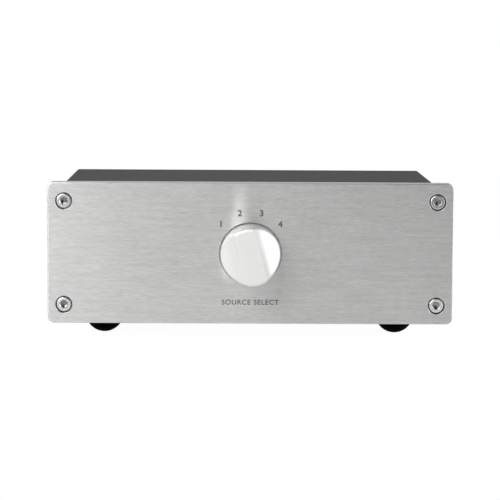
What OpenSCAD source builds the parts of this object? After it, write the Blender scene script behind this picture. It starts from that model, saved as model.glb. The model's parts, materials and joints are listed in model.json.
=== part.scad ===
// Passive audio source selector: a thick metal front panel with one rotary knob,
// a two-shell extruded case, and five stereo pairs of phono jacks at the back.
// Inside, a two-pole rotary switch is wired point to point to the jacks.
// Millimetres, +X right seen from the front, front towards -Y, +Z up, standing on Z = 0.

/* [Case] */
// Width of the case
case_w = 150; // [140:1:190]
// Height of the case
case_h = 46; // [44:1:60]
// Length of the two case shells
case_len = 126; // [115:1:180]
// Wall thickness of the case shells
case_wall = 2; // [1.6:0.1:2.6]
// Outer corner radius of the case
case_corner_r = 0.8; // [0.4:0.1:1.5]
// Depth of the tongue along the seam between the shells
seam_tongue = 1.6; // [1:0.1:2.5]
// Gap along the seam between the shells
seam_gap = 0.1; // [0.05:0.05:0.3]
// Thickness of the rear panel
rear_panel_t = 2; // [1.5:0.1:3]

/* [Front panel] */
// How far the front panel stands out past each side of the case
panel_lip_x = 2.5; // [0.5:0.1:6]
// How far the front panel stands out above and below the case
panel_lip_z = 4; // [0.5:0.1:8]
// Thickness of the front panel
panel_t = 6; // [5:0.1:8]
// Corner radius of the front panel
panel_corner_r = 3.2; // [1.5:0.1:5]
// Bevel round the front edge of the front panel
panel_bevel = 0.4; // [0.2:0.1:1]

/* [Panel screws] */
// Thread diameter of the panel screws
screw_d = 3; // [2.5:0.1:3.2]
// Length of the front screws under the head
front_screw_len = 12; // [8:1:20]
// Length of the rear screws under the head
rear_screw_len = 8; // [6:1:16]
// Head diameter of the panel screws
screw_head_d = 5.5; // [5:0.1:6]
// Head height of the front screws
front_head_h = 3; // [2:0.1:3.4]
// Head height of the rear screws
rear_head_h = 2; // [1.4:0.1:3]
// Bevel on the screw heads
screw_head_bevel = 0.3; // [0.1:0.05:0.5]
// Width across flats of the hexagon sockets
screw_socket_af = 2.5; // [1.8:0.1:3]
// Depth of the hexagon sockets
screw_socket_depth = 1.2; // [0.8:0.1:1.3]
// Gap round the front screw heads in their counterbores
counterbore_gap = 0.5; // [0.2:0.05:0.7]
// Depth of the front screw heads below the panel face
head_sink = 0.2; // [0.1:0.05:0.5]
// Gap round the screws in the panel holes
screw_hole_gap = 0.2; // [0.1:0.05:0.4]
// Gap round the screws in the case channels
screw_channel_gap = 0.05; // [0.03:0.01:0.1]
// Distance from the side of the case to the screw channels
channel_inset_x = 3.75; // [3.4:0.05:6]
// Distance from the top and bottom of the case to the screw channels
channel_inset_z = 3.15; // [3.1:0.05:6]
// Wall of the screw channels
channel_wall = 1.4; // [1:0.1:1.5]
// Width of the slot along each screw channel
channel_slot = 1.2; // [0.8:0.1:1.8]

/* [Knob] */
// Diameter of the knob at the panel
knob_base_d = 23; // [21:0.5:28]
// Diameter of the knob at its front face
knob_front_d = 21.8; // [20:0.1:24]
// Length of the knob
knob_len = 15.7; // [14.5:0.1:20]
// Depth of the round recess in the front panel that the knob sits over
knob_recess = 0.7; // [0.4:0.1:1.2]
// Gap round the knob in its recess
recess_gap = 0.6; // [0.3:0.1:1]
// Gap between the back of the knob and the floor of its recess
knob_gap = 0.8; // [0.6:0.1:1.5]
// Bevel round the front edge of the knob
knob_bevel = 0.4; // [0.2:0.1:0.8]
// Width of the finger bar across the knob
bar_w = 7.5; // [6.4:0.1:9]
// Radius of the hollow on each side of the finger bar
scoop_r = 18.5; // [14:0.5:30]
// Height of the knob's rim where the hollows run out
scoop_rim = 5.2; // [4:0.1:7]
// Thickness of the knob in front of the shaft
knob_cap_t = 2.6; // [2:0.1:4]
// Gap round the switch nut in the back of the knob
knob_nut_gap = 0.7; // [0.4:0.1:1]
// Diameter of the set screw
set_screw_d = 3; // [2.5:0.1:3.5]
// Length of the set screw
set_screw_len = 5; // [4:0.5:6]
// Width across flats of the set screw's socket
set_screw_af = 1.5; // [1.2:0.1:1.6]
// Depth of the set screw's socket
set_screw_socket_depth = 1.8; // [1:0.1:2.5]
// Distance of the set screw in front of the hollow in the back of the knob
set_screw_rise = 3; // [2.5:0.1:4]

/* [Switch] */
// Diameter of the switch shaft
shaft_d = 6; // [5.6:0.1:6.4]
// Thickness of the shaft across its flat
shaft_flat = 4.5; // [4.2:0.1:5]
// Depth of the groove for the retaining clip
clip_groove = 0.5; // [0.3:0.05:0.7]
// Outer diameter of the retaining clip
clip_d = 9; // [8.4:0.1:10]
// Thickness of the retaining clip
clip_t = 0.6; // [0.4:0.05:0.8]
// Width of the mouth of the retaining clip
clip_mouth = 4; // [3:0.1:4.5]
// Diameter of the threaded bush
bush_d = 9; // [8.6:0.1:10]
// How far the bush stands out past its nut
bush_past_nut = 0.4; // [0.2:0.1:1]
// Width across flats of the switch nut
nut_af = 12; // [11.5:0.1:13]
// Thickness of the switch nut
nut_t = 2.2; // [1.8:0.1:2.6]
// Diameter of the switch washer
washer_d = 13; // [12:0.1:14]
// Thickness of the switch washer
washer_t = 0.6; // [0.4:0.05:1]
// Outer diameter of the switch housing
housing_d = 26; // [26:0.1:30]
// Thickness of the front wall of the switch housing
housing_front_t = 2; // [1.5:0.1:3]
// Diameter of the locating peg on the switch housing
peg_d = 2.8; // [2:0.1:3]
// Length of the locating peg
peg_len = 2; // [1:0.1:3]
// Distance of the locating peg from the shaft
peg_r = 10.5; // [9:0.1:11.5]
// Radius inside the switch housing
cavity_r = 11; // [10.8:0.1:11.2]
// Depth of the detent notches
notch_depth = 0.5; // [0.3:0.05:0.7]
// Radius of the detent notches
notch_r = 1.9; // [1.7:0.05:2.2]
// Diameter of the detent balls
ball_d = 3; // [2.8:0.1:3.2]
// Clearance between the detent balls and the ridges between the notches
ball_gap = 0.15; // [0.1:0.05:0.3]
// Wire diameter of the detent spring
spring_wire_d = 0.45; // [0.35:0.05:0.5]
// Turns of the detent spring
spring_turns = 9; // [7:1:11]
// Thickness of the stop ring
stop_t = 2.3; // [2:0.1:3]
// Width of the stop lug, in degrees
stop_lug_angle = 20; // [12:1:24]
// Play of the stop lug at each end of its travel, in degrees
stop_play = 1; // [0.5:0.1:2]
// Radius of the rotor's hub
hub_r = 5.2; // [4.8:0.1:5.6]
// Thickness of the rotor's ball carrier
carrier_t = 5.6; // [5:0.1:7]
// Thickness of the rotor's wiper disc
disc_t = 1.5; // [1:0.1:2]
// Thickness of the wiper blades
wiper_t = 0.3; // [0.2:0.05:0.4]
// Width of the wiper blades
wiper_w = 2.4; // [1.8:0.1:2.8]
// Height of the wiper blades' contact studs
wiper_rise = 1.4; // [1.1:0.1:2]
// Thickness of the claws that hold the contact wafer
claw_t = 0.6; // [0.4:0.1:1]
// Width of the claws, in degrees
claw_angle = 16; // [10:1:24]
// Thickness of the contact wafer
wafer_t = 1.6; // [1.2:0.1:2.4]
// Radius of the ring of switched terminals
throw_r = 8.6; // [8.2:0.1:9]
// Radius of the common terminals
common_r = 4.6; // [4.2:0.1:5]
// Thickness of the terminals' contact pads
pad_t = 0.3; // [0.2:0.05:0.5]
// Diameter of the terminals' contact pads
pad_d = 2.2; // [1.8:0.1:2.6]
// Diameter of the terminals' rivets
rivet_d = 1; // [0.8:0.1:1.4]
// Length of the terminals' solder tags
tag_len = 6; // [4:0.5:8]
// Width of the solder tags
tag_w = 2; // [1.6:0.1:2.4]
// Thickness of the solder tags
tag_t = 0.5; // [0.4:0.05:0.8]
// Diameter of the eye in the solder tags
tag_eye_d = 1; // [0.8:0.1:1.2]
// Running clearance between moving and fixed pieces of the switch
running_gap = 0.3; // [0.2:0.05:0.4]
// Radial clearance of the shaft in its bush
shaft_gap = 0.05; // [0.03:0.01:0.1]
// Radial clearance between pieces that are pushed together
seat_gap = 0.05; // [0.03:0.01:0.1]

/* [Jacks] */
// Spacing of the input jacks
jack_pitch = 23; // [18:0.5:25]
// Spacing between the last input and the output
output_pitch = 31; // [20:0.5:36]
// Height of the upper jack row above the middle of the case
jack_row_z = 9.5; // [8.5:0.1:10]
// Outer diameter of a jack barrel
barrel_d = 8.3; // [8.1:0.1:8.6]
// Length of a jack barrel in front of its flange
barrel_len = 9; // [8:0.5:11]
// Bevel at the mouth of a jack barrel
barrel_bevel = 0.5; // [0.2:0.1:0.7]
// Bore of a jack shell
shell_bore_d = 6.4; // [6:0.1:6.6]
// Diameter of a jack flange
flange_d = 11.5; // [10.5:0.1:12.5]
// Thickness of a jack flange
flange_t = 2; // [1.5:0.1:3]
// Diameter of the threaded tail of a jack shell
tail_d = 7.8; // [7.5:0.1:8]
// How far the tail reaches past its nut
tail_past_nut = 1.2; // [0.5:0.1:2]
// Diameter of the insulating rings on both sides of the rear panel
ring_d = 12.6; // [12:0.1:14]
// Thickness of the outer insulating rings
ring_t = 1.2; // [0.8:0.1:2]
// Thickness of the inner insulating washers
inner_ring_t = 1; // [0.6:0.1:1.5]
// Wall of the ring's shoulder that lines the panel hole
shoulder_wall = 0.8; // [0.5:0.1:1.2]
// Diameter of the ground lugs
lug_d = 11.4; // [10.6:0.1:12]
// Thickness of the ground lugs
lug_t = 0.5; // [0.4:0.05:0.8]
// Width of the solder tabs on the ground lugs
lug_tab_w = 3.5; // [2.5:0.1:5]
// How far a ground lug's tab reaches past the bus wire
lug_past_bus = 0.6; // [0.3:0.1:0.8]
// Width across flats of the jack nuts
jack_nut_af = 11; // [10:0.1:11.5]
// Thickness of the jack nuts
jack_nut_t = 2.2; // [1.8:0.1:3]
// Depth of the insulator behind the mouth of the barrel
insulator_recess = 0.4; // [0.2:0.1:1]
// Outer diameter of a centre contact
contact_d = 4; // [3.8:0.1:4.4]
// Bore of a centre contact
contact_bore_d = 3.2; // [3:0.1:3.3]
// Depth of the bore of a centre contact
contact_bore_depth = 8.5; // [7:0.5:10]
// Length of the tube of a centre contact
contact_len = 11; // [10.5:0.5:13]
// Diameter of the solder pin of a centre contact
contact_pin_d = 2; // [1.6:0.1:2.2]
// How far the solder pin reaches past the insulator
contact_pin_reach = 4; // [3:0.5:6]

/* [Wiring] */
// Diameter of the insulated signal wires
wire_d = 1.4; // [1:0.1:1.5]
// Gap between the outermost wires and the wall of the case
lane_gap = 1.3; // [0.5:0.1:2]
// Spacing of the wire lanes
lane_step = 2; // [1.8:0.1:2.1]
// Diameter of the bare ground bus wires
bus_d = 1.2; // [0.8:0.1:1.4]
// Gap between a bus wire and the jack nuts
bus_gap = 0.4; // [0.2:0.1:0.8]

/* [Feet] */
// Radius of the domed foot
foot_r = 7.5; // [6:0.1:9]
// Height of the straight collar of the foot
foot_collar = 2.25; // [1:0.05:4]
// Diameter of the flat under the foot
foot_flat_d = 3; // [2:0.1:5]
// Thickness of the adhesive pad on top of the foot
foot_pad_t = 0.8; // [0.4:0.1:1.2]
// Margin of the foot round its adhesive pad
foot_pad_margin = 0.7; // [0.3:0.1:1.5]
// Distance from the side of the case to the middle of a foot
foot_inset_x = 18; // [12:0.5:30]
// Distance from the front of the case to the middle of the front feet
foot_inset_front = 19; // [12:0.5:35]
// Distance from the rear face to the middle of the rear feet
foot_inset_rear = 25; // [12:0.5:35]

/* [Hidden] */
$fn = 64;
columns = ["input_1", "input_2", "input_3", "input_4", "output"];
channels = ["left", "right"];
corners = ["front_left", "front_right", "rear_left", "rear_right"];
function jack_name(c, ch) = str(columns[c], "_", channels[ch], "_jack");
function wire_name(c, ch) = str(columns[c], "_", channels[ch], "_wire");
function foot_name(k) = str(corners[k], "_foot");
column_range = [0 : len(columns) - 1];
channel_range = [0 : len(channels) - 1];
corner_range = [0 : len(corners) - 1];

// How far a cutting solid runs past the face it cuts
cut = 1;
hex_sides = 6;

// Overall layout: y runs back from the front panel's face, z from the middle of the case
panel_w = case_w + 2 * panel_lip_x;
panel_h = case_h + 2 * panel_lip_z;
rear_y = panel_t + case_len + rear_panel_t;
foot_dome = sqrt(foot_r * foot_r - foot_flat_d * foot_flat_d / 4);
foot_h = foot_collar + foot_dome;
axis_z = case_h / 2 + foot_pad_t + foot_h;
mouth_y = rear_y + ring_t + flange_t + barrel_len;
knob_y = knob_recess - knob_gap;
front_y = (knob_len - knob_y - mouth_y) / 2;
screw_x = case_w / 2 - channel_inset_x;
screw_z = case_h / 2 - channel_inset_z;
channel_d = screw_d + 2 * screw_channel_gap;

// Knob positions, in degrees clockwise from straight up seen from the front
position_count = 4;
position_step = 30;
rest_position = 2;
function position_angle(p) = (p - (position_count + 1) / 2) * position_step;
rest_angle = position_angle(rest_position);
travel = (position_count - 1) * position_step;

// Knob: the hollow's arc runs from the bar's edge at the front to the rim
knob_taper = (knob_base_d - knob_front_d) / 2 / knob_len;
scoop_start = [bar_w / 2, knob_len];
scoop_end = [knob_base_d / 2 - knob_taper * scoop_rim, scoop_rim];
scoop_chord = scoop_end - scoop_start;
scoop_normal = [-scoop_chord[1], scoop_chord[0]] / norm(scoop_chord);
scoop_lift = sqrt(scoop_r * scoop_r - pow(norm(scoop_chord) / 2, 2));
scoop_centre = (scoop_start + scoop_end) / 2 + scoop_lift * scoop_normal;
nut_y = knob_recess - washer_t - nut_t;
bush_y = nut_y - bush_past_nut;
clip_y = bush_y - running_gap;
knob_hollow = knob_y - clip_y + clip_t + running_gap;
nut_corner_d = nut_af / cos(180 / hex_sides);
set_screw_v = knob_hollow + set_screw_rise;
shaft_tip_y = knob_y - knob_len + knob_cap_t + running_gap;
shaft_flat_r = shaft_flat - shaft_d / 2;

// Switch stations behind the panel
stop_y = panel_t + housing_front_t;
rotor_y = stop_y + running_gap;
carrier_y = stop_y + stop_t + running_gap;
disc_y = carrier_y + carrier_t;
wiper_y = disc_y + disc_t;
wafer_y = wiper_y + wiper_t + wiper_rise + seat_gap + pad_t;
tag_y = wafer_y + wafer_t;
tag_end_y = tag_y + tag_len;
ball_y = carrier_y + carrier_t / 2;
ball_r = cavity_r - ball_gap - ball_d / 2;
carrier_r = ball_r - running_gap;
ball_hole_d = ball_d + 2 * seat_gap;
shaft_end_y = ball_y - ball_hole_d / 2 - running_gap;
disc_r = cavity_r - 2 * running_gap;
lug_r = carrier_r - running_gap;
notch_count = 360 / position_step;
wafer_r = (cavity_r + housing_d / 2) / 2;
claw_count = 4;
throw_count = notch_count;
common_arc = travel + position_step;

// Jack stations at the rear panel
row_w = (len(columns) - 2) * jack_pitch + output_pitch;
function is_output(c) = c == len(columns) - 1;
function jack_x(c) = is_output(c) ? row_w / 2 : -row_w / 2 + c * jack_pitch;
function row_side(ch) = ch == 0 ? 1 : -1;
jack_hole_d = tail_d + 2 * (seat_gap + shoulder_wall + seat_gap);
inner_face_y = rear_y - rear_panel_t;
lug_y = inner_face_y - inner_ring_t - lug_t;
jack_nut_y = lug_y - jack_nut_t;
tail_y = jack_nut_y - tail_past_nut;
insulator_y = mouth_y - insulator_recess;
contact_y = insulator_y - contact_len;
pin_y = tail_y - contact_pin_reach;
bus_offset = jack_nut_af / 2 + bus_gap + bus_d / 2;
lug_reach = bus_offset + bus_d / 2 + lug_past_bus;

// Wires: straight at the jack, into a lane, across, and down to the switch tag
lane_count = len(columns);
lane_z = case_h / 2 - case_wall - lane_gap - wire_d / 2 - (lane_count - 1) * lane_step;
wire_rings = 32;
wire_sides = 8;
lane_in = [0.05, 0.3];
lane_across = [0.3, 0.7];
lane_out = [0.7, 0.95];
spring_sides = 6;
spring_rings = 8;

panel_colour = "silver";
case_colour = "dimgray";
steel_colour = "lightsteelblue";
black_colour = "black";
brass_colour = "gold";
white_colour = "whitesmoke";
red_colour = "firebrick";
copper_colour = "peru";
moulding_colour = "darkslategray";

function unit(v) = v / norm(v);
function polar(r, a) = [r * sin(a), r * cos(a)];
function ramp(t) = let (u = min(max(t, 0), 1)) u * u * (3 - 2 * u);
function span(s, range) = ramp((s - range[0]) / (range[1] - range[0]));

// Moves the model from the front panel's face to its standing frame
module place() {
    translate([0, front_y, axis_z]) children();
}

// Solid rod along Y
module rod(d, y0, y1) {
    translate([0, y0, 0]) rotate([-90, 0, 0]) cylinder(d = d, h = y1 - y0);
}

// Hexagonal rod along Y with a corner pointing along X
module hex_rod(af, y0, y1) {
    translate([0, y0, 0])
        rotate([-90, 0, 0]) cylinder(d = af / cos(180 / hex_sides), h = y1 - y0, $fn = hex_sides);
}

// Round tube along Y
module sleeve(d, bore, y0, y1) {
    difference() {
        rod(d, y0, y1);
        rod(bore, y0 - cut, y1 + cut);
    }
}

// Part of a ring round Y, from angle a0 to a1 clockwise from straight up
module sector(r0, r1, y0, y1, a0, a1) {
    rotate([-90, 0, 0]) rotate([0, 0, a0 - 90]) rotate_extrude(angle = a1 - a0)
        translate([r0, y0]) square([r1 - r0, y1 - y0]);
}

// Extrudes an X-Z outline along Y
module along_y(y0, y1) {
    translate([0, y1, 0]) rotate([90, 0, 0]) linear_extrude(y1 - y0) children();
}

// Rectangle with round corners, centred
module round_rect(w, h, r) {
    square([w - 2 * r, h], center = true);
    square([w, h - 2 * r], center = true);
    for (sx = [-1, 1], sz = [-1, 1])
        translate([sx * (w / 2 - r), sz * (h / 2 - r)]) circle(r);
}

// Puts a child at each of the four screw places
module at_screws() {
    for (sx = [-1, 1], sz = [-1, 1])
        translate([sx * screw_x, 0, sz * screw_z]) children();
}

// Puts a child at each jack of the given channel
module at_jacks(ch) {
    for (c = column_range)
        translate([jack_x(c), 0, row_side(ch) * jack_row_z]) children();
}

// Round wire swept along points, with up never along the path
module wire(path, d, sides, up) {
    last = len(path) - 1;
    points = [
        for (i = [0 : last])
            let (t = unit(path[min(i + 1, last)] - path[max(i - 1, 0)]))
            let (u = unit(cross(up, t)), v = cross(t, u))
            for (k = [0 : sides - 1])
                path[i] + d / 2 * (cos(360 * k / sides) * u + sin(360 * k / sides) * v)
    ];
    function at(i, k) = i * sides + k % sides;
    walls = [
        for (i = [0 : last - 1], k = [0 : sides - 1])
            each [
                [at(i, k), at(i + 1, k), at(i + 1, k + 1)],
                [at(i, k), at(i + 1, k + 1), at(i, k + 1)]
            ]
    ];
    caps = [
        for (k = [1 : sides - 2])
            each [
                [at(0, 0), at(0, k), at(0, k + 1)],
                [at(last, 0), at(last, k + 1), at(last, k)]
            ]
    ];
    polyhedron(points, concat(walls, caps));
}

// Plate standing in the X-Z plane with a bevelled front edge, its face at y = 0
module bevelled_plate(w, h, t, r, b) {
    function outline(half) = [[-half + b, 0], [half - b, 0], [half, b], [half, t], [-half, t], [-half, b]];
    translate([0, 0, -h / 2 + r]) linear_extrude(h - 2 * r) polygon(outline(w / 2));
    translate([-w / 2 + r, 0, 0])
        rotate([0, 90, 0]) linear_extrude(w - 2 * r) polygon(outline(h / 2));
    for (sx = [-1, 1], sz = [-1, 1])
        translate([sx * (w / 2 - r), 0, sz * (h / 2 - r)])
            rotate([-90, 0, 0]) rotate_extrude()
                polygon([[0, 0], [r - b, 0], [r, b], [r, t], [0, t]]);
}

module front_panel() {
    color(panel_colour) difference() {
        bevelled_plate(panel_w, panel_h, panel_t, panel_corner_r, panel_bevel);
        at_screws() {
            rod(screw_d + 2 * screw_hole_gap, -cut, panel_t + cut);
            rod(screw_head_d + 2 * counterbore_gap, -cut, head_sink + front_head_h);
        }
        rod(knob_base_d + 2 * recess_gap, -cut, knob_recess);
        rod(bush_d + 2 * seat_gap, -cut, panel_t + cut);
        translate([-peg_r, 0, 0])
            rod(peg_d + 2 * screw_hole_gap, panel_t - peg_len - running_gap, panel_t + cut);
    }
}

// Socket-head screw along Y, the top of its head at y = 0
module socket_screw(head_h, len) {
    r = screw_head_d / 2;
    difference() {
        rotate([-90, 0, 0]) rotate_extrude()
            polygon([
                [0, 0], [r - screw_head_bevel, 0], [r, screw_head_bevel], [r, head_h],
                [screw_d / 2, head_h], [screw_d / 2, head_h + len], [0, head_h + len]
            ]);
        hex_rod(screw_socket_af, -cut, screw_socket_depth);
    }
}

module front_panel_screws() {
    color(steel_colour) at_screws() translate([0, head_sink, 0])
        socket_screw(front_head_h, front_screw_len);
}

module rear_panel_screws() {
    color(black_colour) at_screws() translate([0, rear_y + rear_head_h, 0])
        mirror([0, 1, 0]) socket_screw(rear_head_h, rear_screw_len);
}

// Outline of one shell, seen from the front, for the half with z on the given side
module shell_outline(side) {
    difference() {
        union() {
            intersection() {
                difference() {
                    round_rect(case_w, case_h, case_corner_r);
                    square([case_w - 2 * case_wall, case_h - 2 * case_wall], center = true);
                }
                translate([-case_w / 2, side > 0 ? seam_gap / 2 : -case_h / 2])
                    square([case_w, (case_h - seam_gap) / 2]);
            }
            intersection() {
                round_rect(case_w, case_h, case_corner_r);
                for (sx = [-1, 1])
                    translate([sx * screw_x, side * screw_z]) circle(d = channel_d + 2 * channel_wall);
            }
        }
        for (sx = [-1, 1])
            translate([sx * screw_x, side * screw_z]) {
                circle(d = channel_d);
                translate([sx > 0 ? -channel_d - channel_wall : 0, -channel_slot / 2])
                    square([channel_d + channel_wall, channel_slot]);
            }
    }
}

// Strip along the inner half of both side walls, from the given height up to the seam
module seam_strip(thickness, z0, z1) {
    for (sx = [-1, 1])
        translate([sx > 0 ? case_w / 2 - case_wall : -case_w / 2 + case_wall - thickness, z0])
            square([thickness, z1 - z0]);
}

module top_shell() {
    color(case_colour) along_y(panel_t, panel_t + case_len) {
        shell_outline(1);
        seam_strip((case_wall - seam_gap) / 2, -seam_tongue, case_wall);
    }
}

module bottom_shell() {
    color(case_colour) along_y(panel_t, panel_t + case_len) difference() {
        shell_outline(-1);
        seam_strip((case_wall + seam_gap) / 2, -seam_tongue - seam_gap, case_wall);
    }
}

module rear_panel() {
    color(case_colour) difference() {
        along_y(inner_face_y, rear_y) round_rect(case_w, case_h, case_corner_r);
        at_screws() rod(screw_d + 2 * screw_hole_gap, inner_face_y - cut, rear_y + cut);
        for (ch = channel_range)
            at_jacks(ch) rod(jack_hole_d, inner_face_y - cut, rear_y + cut);
    }
}

// Domed rubber foot, in the order of the corner names
function foot_x(k) = (k % 2 == 0 ? -1 : 1) * (case_w / 2 - foot_inset_x);
function foot_y(k) = k < 2 ? panel_t + foot_inset_front : rear_y - foot_inset_rear;

module foot(k) {
    color(black_colour) translate([foot_x(k), foot_y(k), -axis_z]) rotate_extrude() {
        translate([0, foot_dome]) square([foot_r, foot_collar]);
        intersection() {
            translate([0, foot_dome]) circle(foot_r);
            square([foot_r, foot_dome]);
        }
    }
}

module foot_pads() {
    color(white_colour) for (k = corner_range)
        translate([foot_x(k), foot_y(k), -axis_z + foot_h])
            cylinder(r = foot_r - foot_pad_margin, h = foot_pad_t);
}

// Knob frame: x across the bar, y along it to the pointer, z out of the panel from the knob's back
module knob_frame() {
    rotate([0, rest_angle, 0]) translate([0, knob_y, 0]) rotate([90, 0, 0]) children();
}

module selector_knob() {
    base_r = knob_base_d / 2;
    front_r = knob_front_d / 2;
    color(panel_colour) knob_frame() difference() {
        rotate_extrude() polygon([
            [0, 0], [base_r, 0], [front_r + knob_taper * knob_bevel, knob_len - knob_bevel],
            [front_r - knob_bevel, knob_len], [0, knob_len]
        ]);
        for (s = [-1, 1])
            translate([s * scoop_centre[0], 0, scoop_centre[1]])
                rotate([90, 0, 0]) cylinder(r = scoop_r, h = 2 * knob_base_d, center = true, $fn = 128);
        translate([0, 0, -cut]) cylinder(d = nut_corner_d + 2 * knob_nut_gap, h = knob_hollow + cut);
        cylinder(d = shaft_d + 2 * seat_gap, h = knob_len - knob_cap_t);
        translate([0, 0, set_screw_v])
            rotate([90, 0, 0]) cylinder(d = set_screw_d + 2 * seat_gap, h = base_r + cut);
    }
}

module knob_set_screw() {
    color(black_colour) knob_frame() translate([0, -shaft_flat_r - seat_gap, set_screw_v])
        rotate([90, 0, 0]) difference() {
            cylinder(d = set_screw_d, h = set_screw_len);
            translate([0, 0, set_screw_len - set_screw_socket_depth])
                cylinder(d = set_screw_af / cos(180 / hex_sides), h = set_screw_len, $fn = hex_sides);
        }
}

module switch_shaft() {
    color(steel_colour) rotate([0, rest_angle, 0]) difference() {
        rod(shaft_d, shaft_tip_y, shaft_end_y);
        translate([-shaft_d / 2, shaft_tip_y - cut, -shaft_flat_r - shaft_d])
            cube([shaft_d, knob_y - knob_hollow - shaft_tip_y + cut, shaft_d]);
        sleeve(shaft_d + cut, shaft_d - 2 * clip_groove, clip_y - clip_t - seat_gap, clip_y + seat_gap);
    }
}

module retaining_clip() {
    color(steel_colour) rotate([0, rest_angle, 0]) difference() {
        sleeve(clip_d, shaft_d - 2 * clip_groove + 2 * seat_gap, clip_y - clip_t, clip_y);
        translate([-clip_mouth / 2, clip_y - clip_t - cut, 0]) cube([clip_mouth, clip_t + 2 * cut, clip_d]);
    }
}

module switch_nut() {
    color(steel_colour) difference() {
        hex_rod(nut_af, nut_y, nut_y + nut_t);
        rod(bush_d + 2 * seat_gap, nut_y - cut, nut_y + nut_t + cut);
    }
}

module switch_washer() {
    color(steel_colour) sleeve(washer_d, bush_d + 2 * seat_gap, knob_recess - washer_t, knob_recess);
}

// Housing with its threaded bush, locating peg, detent notches and the claws that hold the wafer
module switch_housing() {
    color(steel_colour) {
        difference() {
            union() {
                rod(housing_d, panel_t, tag_y);
                rod(bush_d, bush_y, panel_t);
                translate([-peg_r, 0, 0]) rod(peg_d, panel_t - peg_len, panel_t);
            }
            rod(shaft_d + 2 * shaft_gap, bush_y - cut, stop_y + cut);
            rod(2 * cavity_r, stop_y, tag_y + cut);
            rod(2 * (wafer_r + seat_gap), wafer_y, tag_y + cut);
            for (k = [0 : notch_count - 1])
                rotate([0, position_angle(k), 0])
                    translate([0, 0, cavity_r + notch_depth - notch_r])
                        rod(2 * notch_r, carrier_y, disc_y);
        }
        for (k = [0 : claw_count - 1])
            let (a = 360 * k / claw_count)
            sector(cavity_r, housing_d / 2, tag_y, tag_y + claw_t, a, a + claw_angle);
    }
}

// Ring that stops the rotor's lug at the first and the last position
module stop_ring() {
    stop_angle = (travel + stop_lug_angle) / 2 + stop_play;
    color(steel_colour) difference() {
        sleeve(2 * (cavity_r - seat_gap), 2 * (hub_r + running_gap), stop_y, stop_y + stop_t);
        sector(hub_r, lug_r + running_gap, stop_y - cut, stop_y + stop_t + cut, -stop_angle, stop_angle);
    }
}

module switch_rotor() {
    color(moulding_colour) rotate([0, rest_angle, 0]) difference() {
        union() {
            rod(2 * hub_r, rotor_y, carrier_y);
            sector(
                shaft_d / 2, lug_r, rotor_y + running_gap, carrier_y + running_gap,
                -stop_lug_angle / 2, stop_lug_angle / 2
            );
            rod(2 * carrier_r, carrier_y, disc_y);
            rod(2 * disc_r, disc_y, wiper_y);
        }
        rod(shaft_d + 2 * seat_gap, rotor_y - cut, shaft_end_y);
        translate([0, ball_y, -cavity_r]) cylinder(d = ball_hole_d, h = 2 * cavity_r);
    }
}

module detent_balls() {
    color(steel_colour) rotate([0, rest_angle, 0]) for (s = [-1, 1])
        translate([0, ball_y, s * ball_r]) sphere(d = ball_d);
}

// Compression spring that pushes the two balls apart
module detent_spring() {
    coil_r = (ball_d - 2 * seat_gap - spring_wire_d) / 2;
    touch_r = (ball_d + spring_wire_d) / 2 + seat_gap;
    half = ball_r - sqrt(touch_r * touch_r - coil_r * coil_r);
    steps = spring_turns * spring_rings;
    coil = [
        for (i = [0 : steps])
            let (a = 360 * i / spring_rings)
            [coil_r * cos(a), ball_y + coil_r * sin(a), half * (2 * i / steps - 1)]
    ];
    color(steel_colour) rotate([0, rest_angle, 0]) wire(coil, spring_wire_d, spring_sides, [0, 0, 1]);
}

// Two blades, each joining its common arc to one throw
module switch_wipers() {
    stud_y = wiper_y + wiper_t + wiper_rise / 2;
    color(brass_colour) rotate([0, rest_angle, 0]) for (a = [0, 180])
        rotate([0, a, 0]) {
            translate([-wiper_w / 2, wiper_y, common_r - wiper_w / 2])
                cube([wiper_w, wiper_t, throw_r - common_r + wiper_w]);
            for (r = [common_r, throw_r])
                translate([0, 0, r]) {
                    rod(wiper_rise, wiper_y, stud_y);
                    translate([0, stud_y, 0]) sphere(d = wiper_rise);
                }
        }
}

// Puts a child at each switched terminal
module at_throws() {
    for (k = [0 : throw_count - 1])
        rotate([0, position_angle(k), 0]) translate([0, 0, throw_r]) children();
}

// Puts a child at each common terminal
module at_commons() {
    for (a = [0, 180])
        rotate([0, a, 0]) translate([0, 0, common_r]) children();
}

module contact_wafer() {
    color("sienna") difference() {
        rod(2 * wafer_r, wafer_y, tag_y);
        at_throws() rod(rivet_d + 2 * seat_gap, wafer_y - cut, tag_y + cut);
        at_commons() rod(rivet_d + 2 * seat_gap, wafer_y - cut, tag_y + cut);
    }
}

// Rivet and solder tag of one terminal
module tag() {
    rod(rivet_d, wafer_y - pad_t, tag_y);
    difference() {
        translate([-tag_w / 2, tag_y, -tag_t / 2]) cube([tag_w, tag_len, tag_t]);
        translate([0, tag_end_y - tag_w / 2, -tag_w]) cylinder(d = tag_eye_d, h = 2 * tag_w);
    }
}

module switch_terminals() {
    color(brass_colour) {
        at_throws() {
            rod(pad_d, wafer_y - pad_t, wafer_y);
            tag();
        }
        at_commons() tag();
        for (a = [0, 180])
            rotate([0, a, 0]) sector(
                common_r - pad_d / 2, common_r + pad_d / 2, wafer_y - pad_t, wafer_y,
                -common_arc / 2, common_arc / 2
            );
    }
}

// Metal shell of one jack: barrel, flange and threaded tail
module jack_shell(c, ch) {
    flange_y = rear_y + ring_t;
    color(brass_colour) translate([jack_x(c), 0, row_side(ch) * jack_row_z])
        rotate([-90, 0, 0]) rotate_extrude() polygon([
            [shell_bore_d / 2, tail_y], [tail_d / 2, tail_y],
            [tail_d / 2, flange_y], [flange_d / 2, flange_y],
            [flange_d / 2, flange_y + flange_t], [barrel_d / 2, flange_y + flange_t],
            [barrel_d / 2, mouth_y - barrel_bevel], [barrel_d / 2 - barrel_bevel, mouth_y],
            [shell_bore_d / 2, mouth_y]
        ]);
}

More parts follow.
